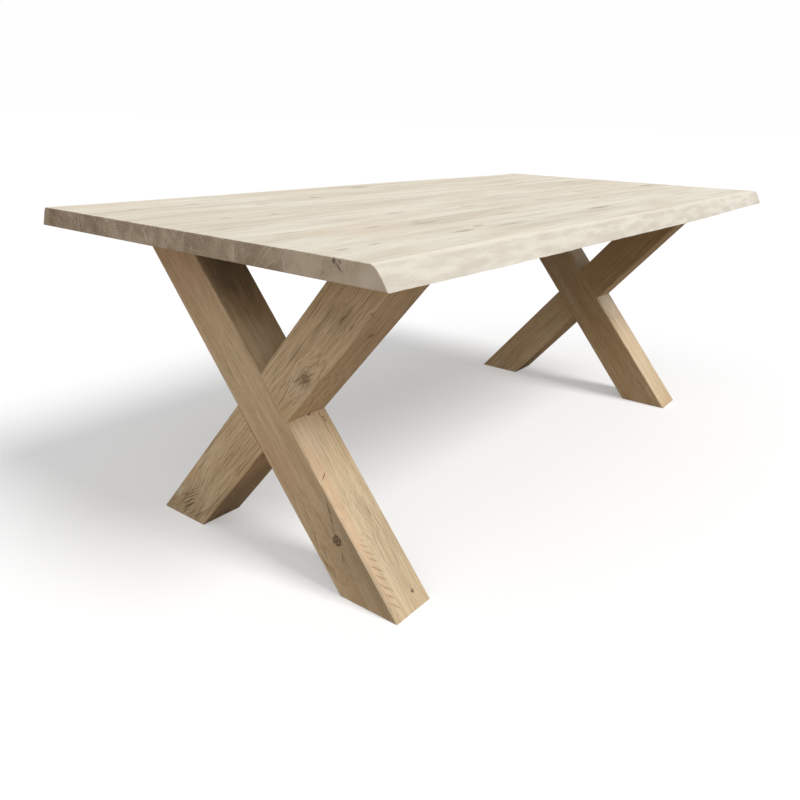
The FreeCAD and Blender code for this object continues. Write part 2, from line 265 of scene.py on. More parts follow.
def solid_oak(name, tones, along, middle, seed, wood, knots=(), marks=(), bark=False):
    """Oak sawn from a log: rings about the pith, lines of open pores, rays and knots.

    along is the way the grain runs and middle a point of the piece. wood says how the
    piece differs from its neighbours: its pith is how far the log's centre lies from
    that point across the grain. knots are (spot, radius, heading, darkness) and marks
    (tone, strength, spot, half sizes, turn). bark tones the face of a natural edge.
    """
    material, tree = new_material(name)
    coordinates = put(tree, "TexCoord")
    place = coordinates.outputs["Object"]
    along = Vector(along).normalized()
    width = Vector((0.0, 0.0, 1.0)).cross(along)
    if width.length < 0.1 or abs(along.z) > 0.1:
        width = Vector((0.0, along.z, -along.y))
    turn = Matrix((along, width.normalized(), along.cross(width).normalized()))
    centre = turn @ Vector(middle)
    turn = turn.to_euler()
    aside, outward = wood["pith"]
    grain = put(tree, "Mapping", {
        "Vector": place, "Rotation": turn,
        "Location": (seed * 0.71 - centre.x, -centre.y - aside, -centre.z - outward)})

    # the trunk wavers slowly over 0.7 m, and ripples by 1 mm over 60 mm
    ripple = streaks(tree, grain, (17.0, 60.0, 60.0), 2.0).outputs["Color"]
    ragged = put(tree, "VectorMath", (ripple, (0.5, 0.5, 0.5)), operation="SUBTRACT")
    pushes, gaps = [], []
    for knot in knots:
        grain, push, gap = bend_round(tree, place, grain, turn, ragged, knot)
        pushes.append(push)
        gaps.append(gap)
    waver = streaks(tree, grain, (1.4, 7.0, 7.0), 2.0, seed).outputs["Color"]
    bent = put(tree, "VectorMath", (waver, (0.0, wood["waver"], wood["waver"]), grain),
               operation="MULTIPLY_ADD")
    bent = put(tree, "VectorMath", (ripple, (0.0, 0.0026, 0.0026), bent),
               operation="MULTIPLY_ADD")
    across = put(tree, "VectorMath", (bent, (0.0, 1.0, 1.0)), operation="MULTIPLY")
    radius = length_of(tree, across)
    for push in pushes:
        radius = put(tree, "Math", (radius, push), operation="ADD")
    early, late = annual_rings(tree, radius, wood["ring"])
    rays = medullary_rays(tree, across, radius, bent)

    # rows of pores 1.2 mm wide and 100 mm long, single pores 0.4 mm wide and 12 mm long,
    # all about twice as coarse as real ones so that they show
    fine = 430.0 * wood["fine"]
    rows = streaks(tree, bent, (10.0, fine, fine), 1.5, seed)
    rows = level(tree, rows, 0.5, 0.66)
    pits = level(tree, streaks(tree, bent, (85.0, 1250.0, 1250.0), 1.0), 0.55, 0.64)
    pits = put(tree, "Math", (pits, early), operation="MULTIPLY")
    broken = level(tree, streaks(tree, bent, (38.0, 260.0, 260.0), 1.0), 0.4, 0.6)
    bands = put(tree, "Math", (early, broken, late), operation="MULTIPLY_ADD")

    # long streaks from 17 mm down to 1 mm wide, clouds 40 mm wide and 0.6 m long
    streak = put(tree, "Math", (streaks(tree, bent, (3.5, 60.0, 60.0), 5.0, seed), 0.5),
                 operation="SUBTRACT")
    cloud = put(tree, "MapRange", {
        "Value": streaks(tree, bent, (1.8, 24.0, 24.0), 3.0, seed), "From Min": 0.3,
        "From Max": 0.7, "To Min": -0.5, "To Max": 0.5})
    shade = put(tree, "Math", (bands, tones.ring_show, 0.32 + wood["tint"]),
                operation="MULTIPLY_ADD")
    for value, weight in ((cloud, tones.cloud_show), (streak, tones.streak_show),
                          (rays, -0.1)):
        shade = put(tree, "Math", (value, weight, shade), operation="MULTIPLY_ADD")
    long_grain = put(tree, "MixRGB", (shade, tones.pale, tones.shaded))
    flush = level(tree, streaks(tree, place, (3.0, 3.0, 3.0), 2.0, seed), 0.45, 0.7, 0.5)
    long_grain = put(tree, "MixRGB", (flush, long_grain, linear(wood["flush"])))
    lines = put(tree, "Math", (rows, tones.line_show * wood["lines"],
                put(tree, "Math", (pits, tones.pore_show), operation="MULTIPLY")),
                operation="MULTIPLY_ADD", use_clamp=True)
    long_grain = put(tree, "MixRGB", (lines, long_grain, tones.pore))

    # on a sawn end the rings and the rays show instead of the lines
    ends = put(tree, "Math", (bands, 0.4, wood["end"]), operation="MULTIPLY_ADD")
    for value, weight in ((cloud, 0.5), (rays, -0.3), (streak, 0.6)):
        ends = put(tree, "Math", (value, weight, ends), operation="MULTIPLY_ADD")
    end_grain = put(tree, "MixRGB", (ends, tones.end_pale, tones.end_dark))
    facing = put(tree, "VectorMath", (coordinates.outputs["Normal"], along),
                 operation="DOT_PRODUCT").outputs["Value"]
    is_end = level(tree, put(tree, "Math", (facing,), operation="ABSOLUTE"), 0.5, 0.72)
    wood_tone = put(tree, "MixRGB", (is_end, long_grain, end_grain))
    if bark:
        wood_tone = bark_side(tree, tones, coordinates, wood_tone, is_end)

    for tone, strength, *form in marks:
        tone = linear(wood["flush"]) if tone == "flush" else getattr(tones, tone)
        cover = put(tree, "Math", (mark(tree, place, ragged, *form), strength),
                    operation="MULTIPLY")
        wood_tone = put(tree, "MixRGB", (cover, wood_tone, tone))
    relief = put(tree, "Math", (pits, -0.8, streak), operation="MULTIPLY_ADD")
    relief = put(tree, "Math", (rows, -0.5 * wood["lines"], relief),
                 operation="MULTIPLY_ADD")
    for knot, gap in zip(knots, gaps):
        wood_tone, relief = knot_core(tree, place, tones, knot, gap, wood_tone, relief)

    bump = put(tree, "Bump", {"Strength": tones.relief, "Distance": 0.0006,
                              "Height": relief})
    rough = put(tree, "MapRange", {"Value": streak, "From Min": -0.2, "From Max": 0.2,
                                   "To Min": 0.55, "To Max": 0.72})
    shader = put(tree, "BsdfPrincipled", {"Base Color": wood_tone, "Roughness": rough,
                                          "Normal": bump, "IOR": 1.45})
    put(tree, "OutputMaterial", {"Surface": shader})
    return material


def knot_core(tree, place, tones, knot, gap, wood_tone, relief):
    """A knot: brown heart, a dark broken rim of dead bark and cracks through the middle."""
    _, size, _, darkness = knot
    crumble = streaks(tree, place, (260.0, 260.0, 260.0), 2.0, size * 90)
    heart = level(tree, gap, size * 1.15, size * 0.6, 0.65 * darkness)
    wood_tone = put(tree, "MixRGB", (heart, wood_tone, tones.smudge))
    rim = put(tree, "Math", (gap, size * 0.85), operation="SUBTRACT")
    rim = level(tree, put(tree, "Math", (rim,), operation="ABSOLUTE"), size * 0.4, 0.0)
    rim = put(tree, "Math", (rim, level(tree, crumble, 0.36, 0.56)), operation="MULTIPLY")
    crack = put(tree, "Math", (level(tree, gap, size * 0.9, size * 0.3),
                level(tree, crumble, 0.5, 0.58)), operation="MULTIPLY")
    dark = put(tree, "Math", (rim, crack), operation="MAXIMUM")
    dark = put(tree, "Math", (dark, darkness), operation="MULTIPLY")
    wood_tone = put(tree, "MixRGB", (dark, wood_tone, tones.knot))
    relief = put(tree, "Math", (dark, -2.0, relief), operation="MULTIPLY_ADD")
    return wood_tone, relief


def bark_side(tree, tones, coordinates, wood_tone, is_end):
    """The face of a natural edge: mottled sapwood without lines, darkened partly as painted
    shade, and a painted highlight along its ridge.
    """
    lean = put(tree, "SeparateXYZ", (coordinates.outputs["Normal"],)).outputs["Y"]
    lean = put(tree, "Math", (lean,), operation="ABSOLUTE")
    mottle = streaks(tree, coordinates.outputs["Object"], (11.0, 50.0, 50.0), 6.0)
    mottle = level(tree, mottle, 0.33, 0.67)
    sapwood = put(tree, "MixRGB", (mottle, tones.bark_pale, tones.bark_shaded))
    long_side = put(tree, "Math", (1.0, is_end), operation="SUBTRACT", use_clamp=True)
    # painted highlight: a paler band where the natural edge's face rolls over into the top
    painted_brow_highlight = put(tree, "Math", (level(tree, lean, 0.10, 0.3, 0.6), level(tree, lean, 0.6, 0.4)),
               operation="MULTIPLY")
    # partly painted shade: the leaning face of the natural edge takes the darker mottled tone
    for cover, tone in ((level(tree, lean, 0.3, 0.6, 0.85), sapwood),
                        (painted_brow_highlight, tones.painted_brow_highlight)):
        cover = put(tree, "Math", (cover, long_side), operation="MULTIPLY")
        wood_tone = put(tree, "MixRGB", (cover, wood_tone, tone))
    return wood_tone


def powder_coat():
    """Black polyester powder coat, baked: a fine orange peel that scatters highlights."""
    material, tree = new_material("powder_coated_steel")
    place = put(tree, "TexCoord").outputs["Object"]
    peel = put(tree, "TexNoise", {"Vector": place, "Scale": 900.0, "Detail": 2.0})
    tone = put(tree, "MixRGB", (peel, linear("#1B1B1C"), linear("#262627")))
    bump = put(tree, "Bump", {"Strength": 0.3, "Distance": 0.0002, "Height": peel})
    rough = put(tree, "MapRange", {"Value": peel, "To Min": 0.45, "To Max": 0.62})
    shader = put(tree, "BsdfPrincipled", {"Base Color": tone, "Roughness": rough,
                                          "Normal": bump, "IOR": 1.5})
    put(tree, "OutputMaterial", {"Surface": shader})
    return material


def zinc_plate():
    """Zinc-plated steel screws: a cool satin metal with a faint passivated mottle."""
    material, tree = new_material("zinc_plated_steel")
    place = put(tree, "TexCoord").outputs["Object"]
    mottle = put(tree, "TexNoise", {"Vector": place, "Scale": 400.0, "Detail": 3.0})
    tone = put(tree, "MixRGB", (mottle, linear("#A9ABAC"), linear("#C6C7C4")))
    rough = put(tree, "MapRange", {"Value": mottle, "To Min": 0.28, "To Max": 0.42})
    shader = put(tree, "BsdfPrincipled", {"Base Color": tone, "Roughness": rough,
                                          "Metallic": 1.0})
    put(tree, "OutputMaterial", {"Surface": shader})
    return material


# ------------------------------------------------------------------ mesh helpers
# faces that meet at more than this angle keep a sharp edge
SHARP = math.radians(32)


def finish_piece(bm, material, node):
    """Turns a bmesh into a piece that stands for a CAD node and rides with its body."""
    bmesh.ops.recalc_face_normals(bm, faces=bm.faces)
    for face in bm.faces:
        face.smooth = max(abs(c) for c in face.normal) < 0.9999
    for edge in bm.edges:
        if edge.is_manifold and edge.calc_face_angle() > SHARP:
            edge.smooth = False
    mesh = bpy.data.meshes.new(node + "_dressed")
    bm.to_mesh(mesh)
    bm.free()
    mesh.materials.append(material)
    piece = bpy.data.objects.new(node + "_dressed", mesh)
    bpy.context.scene.collection.objects.link(piece)
    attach(piece, BODY)
    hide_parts(node)


def block(low, high):
    """A squared block between two corners."""
    size = high - low
    bm = bmesh.new()
    bmesh.ops.create_cube(bm, size=1.0, matrix=Matrix.Translation((low + high) / 2)
                          @ Matrix.Diagonal((*size, 1.0)))
    return bm


def saw(bm, places, normal):
    """Cuts a loop of edges through the piece at each place along a normal."""
    for place in places:
        everything = bm.verts[:] + bm.edges[:] + bm.faces[:]
        bmesh.ops.bisect_plane(bm, geom=everything, plane_co=Vector(normal) * place,
                               plane_no=normal)


def ease(bm, edges, width, segments=2):
    bmesh.ops.bevel(bm, geom=edges, offset=width, offset_type="OFFSET",
                    segments=segments, profile=0.5, affect="EDGES", material=-1)


# ------------------------------------------------------------------ the top
# the two natural edges: which side they are on, their mean distance from the centre
# line, the taper over half the length, the bow at mid length and the lean of the face
EDGES = {
    "live_edge_board_front": {
        "side": -1, "reach": 0.4926, "taper": 0.027, "bow": 0.013, "bevel": 0.045},
    "live_edge_board_back": {
        "side": 1, "reach": 0.5089, "taper": -0.007, "bow": 0.004, "bevel": 0.024},
}
# the line of an edge also ripples along the table, and its lean swells and closes up
# towards the left and the right end
RIPPLE, RIPPLE_LENGTH = 0.0025, 1.15
SWELL, SWELL_LENGTH, SWELL_START = 0.16, 1.65, math.radians(110)
LEFT_CLOSING, RIGHT_CLOSING, CLOSING_POWER = 0.25, 0.5, 14
# the two points that pull the section of an edge, as shares of its lean and its height
SLOPE_IN, SLOPE_UP = 0.34, 0.5
BROW_IN, BROW_UP = 0.72, 0.97
LENGTHWISE = (1.0, 0.0, 0.0)
UPRIGHT = (0.0, 0.0, 1.0)
# soft marks on the face of each board, as (x, y, half length, half width, strength)
FLECKS = {
    "live_edge_board_front": [
        (-0.987, -0.319, 0.024, 0.008, 0.50), (-0.904, -0.318, 0.026, 0.008, 0.40),
        (-0.641, -0.334, 0.052, 0.012, 0.55), (-0.552, -0.314, 0.030, 0.010, 0.60),
        (-0.457, -0.343, 0.090, 0.012, 0.40), (0.030, -0.337, 0.095, 0.015, 0.60),
        # the last two darken the top in a long faint band along the front edge
        (-0.200, -0.375, 0.600, 0.045, 0.16), (-0.510, -0.355, 0.130, 0.045, 0.14)],
    "top_board_2": [
        (-0.737, -0.184, 0.036, 0.012, 0.35), (-0.602, -0.188, 0.020, 0.010, 0.40),
        (-0.601, -0.213, 0.068, 0.015, 0.35), (-0.314, -0.238, 0.080, 0.013, 0.35),
        (0.936, -0.141, 0.080, 0.016, 0.60), (-0.925, -0.129, 0.050, 0.008, 0.30),
        (0.280, -0.219, 0.055, 0.012, 0.40)],
    "top_board_3": [
        (-0.514, -0.065, 0.052, 0.015, 0.35), (-0.239, -0.096, 0.066, 0.015, 0.30),
        (0.458, -0.086, 0.066, 0.015, 0.35), (-0.988, -0.013, 0.034, 0.006, 0.35)],
    "top_board_4": [
        (-0.871, 0.106, 0.023, 0.012, 0.45), (-0.745, 0.091, 0.020, 0.013, 0.45)],
    "top_board_5": [(-0.632, 0.257, 0.035, 0.014, 0.40)],
    "top_board_6": [
        (-0.409, 0.286, 0.034, 0.016, 0.60), (-0.764, 0.345, 0.035, 0.016, 0.30),
        (-0.922, 0.345, 0.036, 0.012, 0.30)],
    "live_edge_board_back": [(-0.061, 0.422, 0.075, 0.026, 0.50)],
}
# marks on the left cut end, as (tone, strength, y, z, half width, half height, tilt)
END_MARKS = {
    "live_edge_board_front": [
        ("knot", 0.95, -0.3562, 0.7750, 0.0052, 0.007, 0.2),
        ("knot", 0.95, -0.3655, 0.7665, 0.0026, 0.0115, -0.86),
        ("knot", 0.8, -0.3690, 0.7745, 0.0020, 0.0065, -0.65),
        ("smudge", 0.5, -0.3600, 0.7700, 0.0110, 0.012, -0.4),
        ("sapwood", 0.4, -0.4280, 0.7560, 0.0350, 0.024, -0.8)],
    "top_board_2": [("sapwood", 0.6, -0.2435, 0.760, 0.0020, 0.030, -0.18)],
    "top_board_3": [
        ("knot", 0.5, 0.0070, 0.7575, 0.0016, 0.006, 0.2),
        ("sapwood", 0.5, 0.0210, 0.7650, 0.0018, 0.022, 0.62),
        ("sapwood", 0.6, -0.1225, 0.7600, 0.0018, 0.030, 0.0)],
    "top_board_4": [("knot", 0.7, 0.0680, 0.7565, 0.0026, 0.005, 0.0)],
    "top_board_5": [
        ("smudge", 0.6, 0.2190, 0.7620, 0.0080, 0.018, -0.45),
        ("knot", 0.6, 0.2050, 0.7560, 0.0022, 0.009, 0.1),
        ("sapwood", 0.5, 0.1345, 0.7600, 0.0045, 0.026, -0.55)],
    "top_board_6": [("sapwood", 0.5, 0.2735, 0.7600, 0.0018, 0.026, 0.02)],
    "live_edge_board_back": [
        ("knot", 0.8, 0.3635, 0.7600, 0.0014, 0.024, -0.04),
        ("knot", 0.8, 0.3728, 0.7610, 0.0016, 0.024, -0.06),
        ("sapwood", 0.7, 0.3685, 0.7600, 0.0020, 0.024, -0.05)],
}


def board_wood(aside, below, ring, tint, end, flush):
    """How a board differs: where its pith lies, ring width, darkness, end, warm tone."""
    return {"pith": (aside, below), "ring": ring, "tint": tint, "end": end,
            "flush": flush, "lines": 1.0, "fine": 1.0, "waver": 0.03}


BOARDS = {
    "live_edge_board_front": board_wood(0.14, -0.09, 0.0042, -0.06, 0.02, "#E1D8C5"),
    "top_board_2": board_wood(0.10, -0.08, 0.0052, 0.06, 0.50, "#D8C9B4"),
    "top_board_3": board_wood(0.055, 0.075, 0.0060, -0.02, 0.38, "#DCD0BC"),
    "top_board_4": board_wood(-0.06, -0.05, 0.0046, 0.12, 0.40, "#D4C7B3"),
    "top_board_5": board_wood(0.03, -0.12, 0.0055, -0.05, 0.34, "#D8CAB3"),
    "top_board_6": board_wood(-0.05, 0.06, 0.0040, 0.10, 0.60, "#D9CEBC"),
    "live_edge_board_back": board_wood(-0.16, -0.10, 0.0048, 0.02, 0.55, "#DBD0BB"),
}


def top_oak(node, seed, top):
    """Whitened oak for one board: pigmented hardwax oil dulls the grain to cream."""
    low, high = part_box(node)
    marks = [("smudge", strength, (x, y, SURFACE), (length, width, 0.02), (0.0, 0.0, 0.0))
             for x, y, length, width, strength in FLECKS[node]]
    marks += [(tone, strength, (-END, y, z), (0.012, across, up), (tilt, 0.0, 0.0))
              for tone, strength, y, z, across, up, tilt in END_MARKS.get(node, [])]
    return solid_oak("whitened_oak_" + node, top, LENGTHWISE, (low + high) / 2, seed,
                     BOARDS[node], marks=marks, bark=node in EDGES)


def edge_line(edge, x):
    """Where the foot of a natural edge lies at x, and how far its face leans in."""
    along = x / END
    reach = (edge["reach"] + edge["taper"] * along
             + edge["bow"] * math.cos(math.pi / 2 * along)
             + RIPPLE * math.sin(math.tau * x / RIPPLE_LENGTH))
    bevel = edge["bevel"] * (
        1 + SWELL * math.sin(math.tau * x / SWELL_LENGTH - SWELL_START))
    closing = LEFT_CLOSING if along < 0 else RIGHT_CLOSING
    return reach, bevel * (1 - closing * along ** CLOSING_POWER)


def pull(t, first, second):
    """A curve from 0 to 1 that two points pull towards them."""
    return 3 * first * t * (1 - t) ** 2 + 3 * second * t * t * (1 - t) + t ** 3


def lean_in(height):
    """Share of the bevel at a share of the height: a slope that rolls over at the brow."""
    t = height
    for _ in range(20):
        t += (height - pull(t, SLOPE_UP, BROW_UP)) / 1.6
    return pull(min(max(t, 0.0), 1.0), SLOPE_IN, BROW_IN)


class TABLE_OT_natural_boards(bpy.types.Operator):
    """Models the two outer boards, each with the tree's own edge"""
    bl_idname = "table.natural_boards"
    bl_label = "Natural-edged boards"

    def execute(self, context):
        top = context.scene.table_top
        for seed, (node, edge) in enumerate(EDGES.items()):
            bm = block(*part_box(node))
            gap = 2 * END / top.stations
            saw(bm, [gap * (i + 1) - END for i in range(top.stations - 1)], LENGTHWISE)
            rise = SURFACE - UNDERSIDE
            layers = [1 - (1 - (i + 1) / top.layers) ** 2 for i in range(top.layers - 1)]
            saw(bm, [UNDERSIDE + rise * layer for layer in layers], UPRIGHT)
            self.follow_the_tree(bm, node, edge, top.waver)
            rim = [e for e in bm.edges if len(e.link_faces) == 2
                   and abs(abs(e.verts[0].co.x) - END) < 1e-6
                   and abs(e.verts[0].co.x - e.verts[1].co.x) < 1e-6
                   and any(abs(f.normal.x) < 0.5 for f in e.link_faces)
                   and not self.at_seam(e, node, edge)]
            ease(bm, rim, top.end_easing)
            finish_piece(bm, top_oak(node, 3.1 + seed, top), node)
        return {"FINISHED"}

    def at_seam(self, edge, node, natural):
        """Whether an edge lies in the glued face, where nothing is eased."""
        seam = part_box(node)[1 if natural["side"] < 0 else 0].y
        return all(abs(vert.co.y - seam) < 1e-6 for vert in edge.verts)

    def follow_the_tree(self, bm, node, edge, waver):
        """Moves the sawn side onto the edge's own line, with hollows and small bumps."""
        low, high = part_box(node)
        side = edge["side"]
        outer = low.y if side < 0 else high.y
        for vert in bm.verts:
            if abs(vert.co.y - outer) > 1e-5:
                continue
            height = (vert.co.z - UNDERSIDE) / (SURFACE - UNDERSIDE)
            reach, bevel = edge_line(edge, vert.co.x)
            # hollows about 110 mm long and bumps about 26 mm long, both in from the line
            hollow = 0.5 + 0.5 * noise.noise(Vector((vert.co.x * 9, height * 1.3, side * 5)))
            hollow += 0.5 * noise.noise(Vector((vert.co.x * 38, height * 3.5, 7.0)))
            hollow = max(hollow, 0.0) * waver * (1 - 0.35 * height)
            vert.co.y = side * (reach - bevel * lean_in(height) - hollow)


class TABLE_OT_straight_boards(bpy.types.Operator):
    """Models the five straight boards glued up between the natural edges"""
    bl_idname = "table.straight_boards"
    bl_label = "Straight boards"

    def execute(self, context):
        top = context.scene.table_top
        for number in range(2, 7):
            node = "top_board_%d" % number
            bm = block(*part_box(node))
            ends = [e for e in bm.edges if abs(e.verts[0].co.x - e.verts[1].co.x) < 1e-6
                    and abs(e.verts[0].co.z - e.verts[1].co.z) < 1e-6]
            ease(bm, ends, top.end_easing)
            finish_piece(bm, top_oak(node, number * 1.37, top), node)
        return {"FINISHED"}


# ------------------------------------------------------------------ the beams
FRAME_MIDDLE = 0.005
SPREAD = 0.623
LEAN = math.atan2(SPREAD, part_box("leg_left_front_foot")[1][2])
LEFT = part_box("leg_left_front_foot")[0][0]
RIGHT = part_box("leg_right_front_foot")[0][0]
RIGHT_MIDDLE = sum(corner[0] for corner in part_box("leg_right_front_foot")) / 2
# an arris climbs more than this, and the edges of the half-lap climb 93 mm
SHORTEST_ARRIS = 0.15


def beam_wood(aside, outward, ring, tint, lines, fine, waver, flush):
    """How a beam differs: pith, ring width, darkness, pore lines, waver, warm tone."""
    return {"pith": (aside, outward), "ring": ring, "tint": tint, "end": 0.35,
            "flush": flush, "lines": lines, "fine": fine, "waver": waver}


BEAMS = {
    "leg_left_front_foot": beam_wood(
        -0.11, 0.06, 0.0066, -0.07, 0.7, 1.2, 0.020, "#CFAC8A"),
    "leg_left_back_foot": beam_wood(
        0.03, -0.16, 0.0050, -0.20, 1.1, 1.0, 0.006, "#CCAA80"),
    # the two right beams are toned darker as painted shade, since the table keeps the left lamp
    # from them
    "leg_right_front_foot": beam_wood(
        0.12, 0.03, 0.0050, 0.20, 0.8, 1.1, 0.018, "#C09A6A"),
    "leg_right_back_foot": beam_wood(
        -0.04, 0.14, 0.0052, 0.25, 0.8, 1.1, 0.018, "#B68F5E"),
}
# branches that the grain runs round, as (place, radius, heading, darkness of the knot)
BEAM_KNOTS = {
    "leg_left_front_foot": [
        ((LEFT, -0.2175, 0.136), 0.012, (0.95, 0.24, 0.29), 1.0),
        ((LEFT, -0.1753, 0.109), 0.014, (0.98, 0.1, 0.1), 0.0),
        ((-0.798, -0.361, 0.029), 0.0045, (0.1, 0.78, -0.62), 0.9)],
    "leg_left_back_foot": [
        ((LEFT, -0.131, 0.4826), 0.010, (0.97, 0.1, -0.2), 0.5),
        ((LEFT, 0.325, 0.072), 0.022, (0.98, 0.1, 0.1), 0.0)],
}


def in_face(lean, angle):
    """The turn of a mark drawn on a beam's sloping face, at an angle to the grain."""
    turned = Matrix.Rotation(lean, 3, "X") @ Matrix.Rotation(angle, 3, "Y")
    return tuple(turned.to_euler())


# other marks, as (tone, strength, place, half sizes, turn)
ALONG_FRONT_FOOT = (-LEAN, 0.0, 0.0)
ALONG_BACK_FOOT = (LEAN, 0.0, 0.0)
BEAM_MARKS = {
    "leg_left_front_foot": [
        ("smudge", 0.35, (LEFT, -0.290, 0.0900), (0.012, 0.100, 0.220), ALONG_FRONT_FOOT),
        ("grey", 0.24, (-0.823, -0.2600, 0.1482), (0.160, 0.040, 0.340),
         ALONG_FRONT_FOOT),
        ("flush", 0.5, (-0.866, -0.2265, 0.1882), (0.024, 0.010, 0.300),
         ALONG_FRONT_FOOT),
        # painted shade: the upper front face, under the top, is darkened where the top shades it
        ("smudge", 0.9, (-0.815, 0.1759, 0.6782), (0.160, 0.020, 0.240),
         ALONG_FRONT_FOOT),
        ("grey", 0.4, (-0.815, 0.1759, 0.6782), (0.140, 0.020, 0.170), ALONG_FRONT_FOOT),
        # painted light: a paler band lower on that shaded face, standing in for light thrown up
        # from below
        ("sapwood", 0.45, (-0.815, 0.0300, 0.5050), (0.090, 0.017, 0.120),
         ALONG_FRONT_FOOT),
        # painted light: lightens the front face just below the lap, where the key light's half
        # shadow falls
        ("sapwood", 0.28, (-0.842, -0.1009, 0.3437), (0.060, 0.012, 0.070),
         ALONG_FRONT_FOOT),
        ("knot", 0.9, (LEFT, -0.198, 0.190), (0.006, 0.0016, 0.072), (-0.33, 0.0, 0.0)),
        ("knot", 0.9, (-0.864, -0.1626, 0.2641), (0.0018, 0.006, 0.016),
         in_face(-LEAN, 0.925)),
        ("knot", 1.0, (-0.816, -0.0740, 0.3690), (0.0075, 0.006, 0.0030),
         ALONG_FRONT_FOOT),
        ("knot", 0.6, (-0.787, -0.0800, 0.3620), (0.0014, 0.005, 0.0085),
         in_face(-LEAN, 0.25)),
        ("knot", 1.0, (-0.782, -0.0851, 0.3561), (0.0065, 0.005, 0.0022),
         ALONG_FRONT_FOOT),
        ("knot", 1.0, (-0.782, -0.0905, 0.3497), (0.0022, 0.005, 0.0085),
         ALONG_FRONT_FOOT),
        ("flush", 0.7, (-0.776, -0.0801, 0.3620), (0.0080, 0.006, 0.0110),
         ALONG_FRONT_FOOT),
        ("flush", 0.6, (-0.779, -0.1002, 0.3382), (0.0060, 0.006, 0.0110),
         ALONG_FRONT_FOOT),
        ("pore", 0.85, (LEFT, -0.1559, 0.1138), (0.008, 0.0022, 0.034), (-0.34, 0.0, 0.0)),
        ("pore", 0.85, (LEFT, -0.1845, 0.0667), (0.008, 0.0022, 0.034), (-0.75, 0.0, 0.0)),
        ("pore", 0.7, (LEFT, -0.1860, 0.0885), (0.008, 0.0020, 0.023), (-0.35, 0.0, 0.0)),
        ("pore", 0.7, (LEFT, -0.2050, 0.0612), (0.008, 0.0020, 0.018), (-0.94, 0.0, 0.0)),
        ("pore", 0.7, (LEFT, -0.2330, 0.0989), (0.008, 0.0020, 0.023), (-0.14, 0.0, 0.0))],
    "leg_left_back_foot": [
        ("smudge", 0.26, (LEFT, 0.320, 0.040), (0.012, 0.100, 0.140), ALONG_BACK_FOOT),
        ("sapwood", 0.14, (LEFT, -0.1144, 0.4617), (0.012, 0.040, 0.060), ALONG_BACK_FOOT),
        ("smudge", 0.4, (LEFT, -0.125, 0.4780), (0.010, 0.024, 0.032), ALONG_BACK_FOOT),
        ("pore", 0.7, (LEFT, -0.106, 0.4750), (0.008, 0.0030, 0.020), (0.95, 0.0, 0.0)),
        ("pore", 0.6, (LEFT, -0.1456, 0.4930), (0.008, 0.0034, 0.016), (0.90, 0.0, 0.0)),
        ("smudge", 0.25, (LEFT, -0.1048, 0.5322), (0.010, 0.016, 0.036), ALONG_BACK_FOOT),
        ("smudge", 0.3, (LEFT, -0.2290, 0.6260), (0.010, 0.026, 0.060), ALONG_BACK_FOOT),
        ("pore", 0.8, (LEFT, -0.2285, 0.6260), (0.008, 0.0030, 0.018), ALONG_BACK_FOOT),
        ("pore", 0.7, (LEFT, -0.2523, 0.6145), (0.008, 0.0026, 0.016), ALONG_BACK_FOOT),
        ("smudge", 0.2, (LEFT, -0.2008, 0.6412), (0.010, 0.016, 0.050), ALONG_BACK_FOOT),
        ("knot", 0.6, (LEFT, -0.301, 0.649), (0.006, 0.002, 0.006), ALONG_BACK_FOOT),
        ("smudge", 0.7, (-0.8300, -0.2570, 0.5880), (0.012, 0.008, 0.013),
         ALONG_BACK_FOOT),
        ("sapwood", 0.5, (LEFT, 0.323, 0.072), (0.012, 0.012, 0.034), ALONG_BACK_FOOT),
        ("flush", 0.6, (LEFT, 0.275, 0.128), (0.012, 0.020, 0.060), ALONG_BACK_FOOT),
        # painted shade: darkens the face of this beam that looks down towards the front, low near
        # its foot
        ("smudge", 0.4, (-0.823, 0.154, 0.100), (0.150, 0.020, 0.200), ALONG_BACK_FOOT)],
    "leg_right_front_foot": [
        # partly the pale sapwood of this face and partly painted light: keeps the lit face bright
        # against the darker tint and lightens a patch under the top
        ("sapwood", 0.5, (RIGHT_MIDDLE, -0.0622, 0.3950), (0.200, 0.014, 0.900),
         ALONG_FRONT_FOOT),
        ("sapwood", 1.0, (RIGHT_MIDDLE, 0.0600, 0.5380), (0.140, 0.016, 0.220),
         ALONG_FRONT_FOOT),
        ("sapwood", 0.7, (RIGHT_MIDDLE, -0.0900, 0.3600), (0.120, 0.014, 0.110),
         ALONG_FRONT_FOOT),
        # painted shade: darkens the upper part of the beam's left face, under the table
        ("smudge", 0.45, (RIGHT, 0.1600, 0.5540), (0.030, 0.160, 0.600),
         ALONG_FRONT_FOOT)],
    "leg_right_back_foot": [
        # painted shade: darkens the upper part of the beam's left face, under the table
        ("smudge", 0.4, (RIGHT, -0.1500, 0.5540), (0.030, 0.160, 0.600), ALONG_BACK_FOOT)],
}
